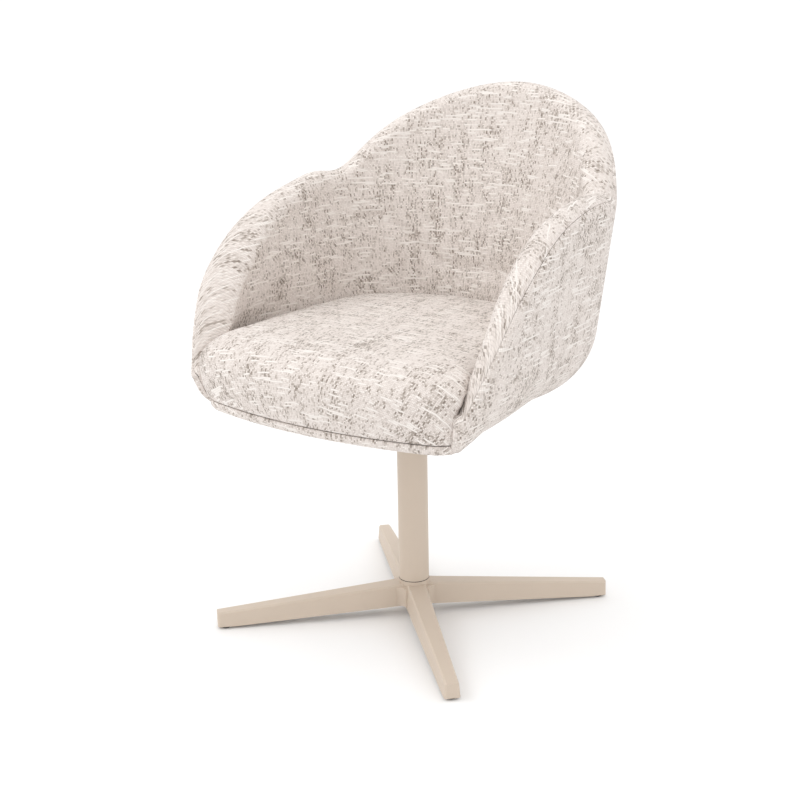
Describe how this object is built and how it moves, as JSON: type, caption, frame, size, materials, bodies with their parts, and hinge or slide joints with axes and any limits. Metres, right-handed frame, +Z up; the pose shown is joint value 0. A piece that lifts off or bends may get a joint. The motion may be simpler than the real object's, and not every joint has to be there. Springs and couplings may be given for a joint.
{
  "type": "swivel dining chair",
  "caption": "Swivel dining chair: an upholstered tub seat with wrap-round arms and a crowned cushion turns on a round column above a low star base.",
  "frame": {"origin": "on the swivel axis at floor level", "axes": "+Z up the swivel axis, -Y towards the front of the seat, +X to the sitter's left"},
  "size_m": [0.5732, 0.6123, 0.818],
  "materials": {
    "taupe_paint": "matt powder coat",
    "black_plastic": "matt",
    "steel": "zinc plated",
    "seal_rubber": "matt",
    "bearing_plastic": "natural nylon",
    "black_paint": "satin black",
    "plywood": "bare birch",
    "shell_plastic": "moulded",
    "tweed": "coarse slub weave"
  },
  "bodies": {
    "base": {"star_base": "taupe_paint", "glide_front_left": "black_plastic", "glide_front_right": "black_plastic", "glide_back_left": "black_plastic", "glide_back_right": "black_plastic", "glide_studs": "steel", "column_seal_ring": "seal_rubber", "column_tube": "taupe_paint", "column_end_plug": "steel", "column_bolt_washer": "steel", "column_bolt": "steel", "swivel_housing": "steel", "lower_bush": "bearing_plastic", "upper_bush": "bearing_plastic", "lower_race": "steel"},
    "bearing_cage": {"ball_cage": "bearing_plastic", "thrust_balls": "steel"},
    "seat": {"upper_race": "steel", "spindle": "steel", "spindle_washer": "steel", "spindle_circlip": "steel", "swivel_plate": "black_paint", "plate_bolts": "steel", "plate_washers": "steel", "tee_nuts": "steel", "seat_board": "plywood", "tub_shell": "shell_plastic", "outer_upholstery": "tweed", "inner_upholstery": "tweed", "seat_cushion": "tweed", "underside_cover": "tweed", "cover_clips": "black_plastic"}
  },
  "joints": [
    {"name": "seat_swivel", "type": "hinge", "parent": "base", "child": "seat", "pos_m": [0, 0, 0.32], "axis": [0, 0, 1], "continuous": true},
    {"name": "cage_turn", "type": "hinge", "parent": "base", "child": "bearing_cage", "pos_m": [0, 0, 0.3265], "axis": [0, 0, 1], "continuous": true}
  ],
  "couplings": [
    {"joint": "cage_turn", "follows": "seat_swivel", "ratio": 0.5}
  ]
}
